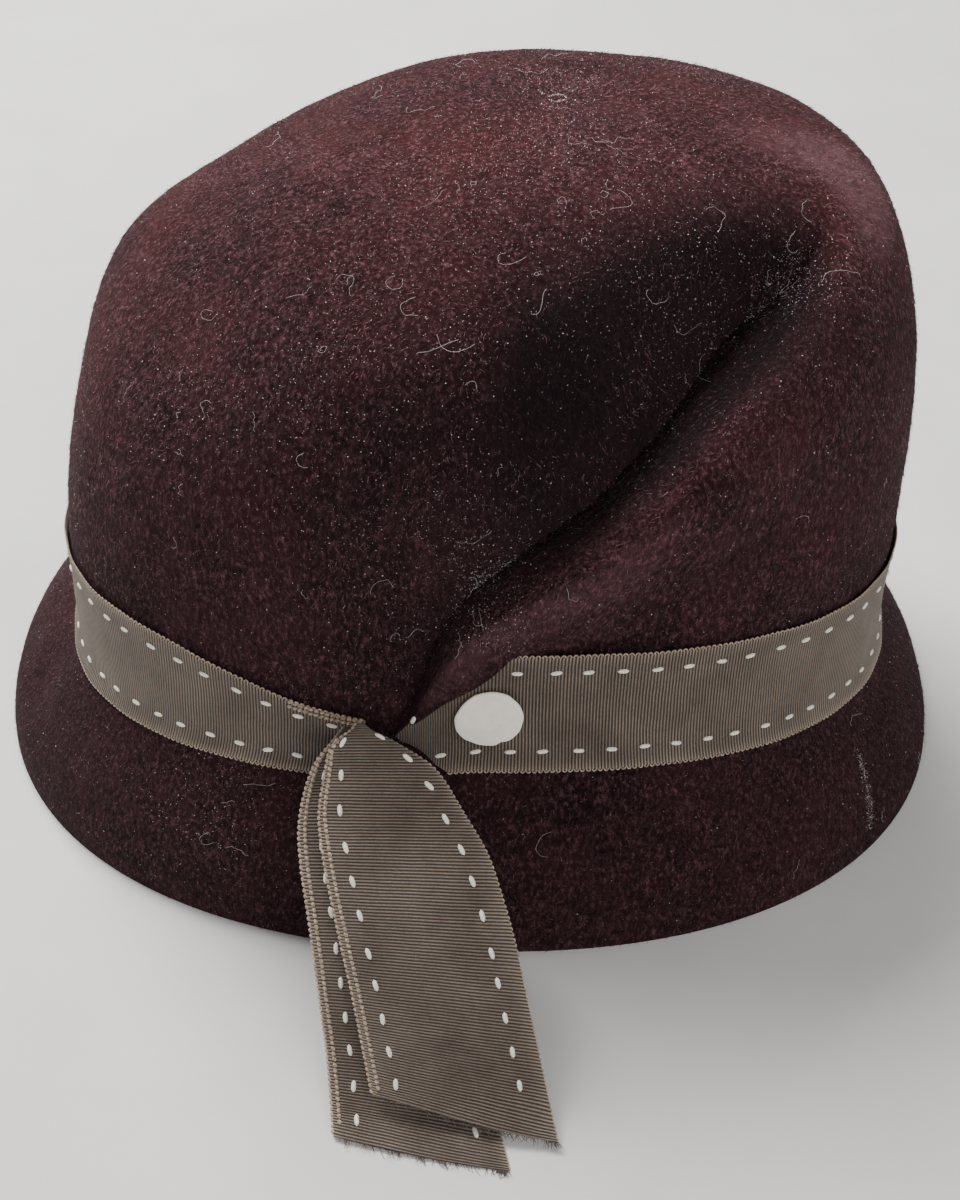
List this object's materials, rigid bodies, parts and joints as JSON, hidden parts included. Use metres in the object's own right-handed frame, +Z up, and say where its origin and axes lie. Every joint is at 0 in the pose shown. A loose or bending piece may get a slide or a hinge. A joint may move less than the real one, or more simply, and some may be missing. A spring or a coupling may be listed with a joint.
{
  "type": "cloche hat",
  "caption": "Close-fitting felt cloche hat with a turned-down bell brim, a long slanting tuck over the crown, and a ribbon band knotted at the side with two tails.",
  "frame": {"origin": "middle of the bounding box in plan, at the level of the surface the brim rests on", "axes": "+Z up, X along the hat's long axis from wearer's front at -X to back at +X, the ribbon knot and its tails on the -Y side"},
  "size_m": [0.258, 0.2528, 0.1729],
  "materials": {
    "felt": "velour felt, matt with a soft nap",
    "ribbon": "ribbed grosgrain, matt",
    "disc": "pale, matt, faintly speckled"
  },
  "bodies": {
    "root": {"felt_body": "felt", "ribbon_band": "ribbon", "tail_front": "ribbon", "tail_back": "ribbon", "band_disc": "disc"}
  },
  "joints": []
}
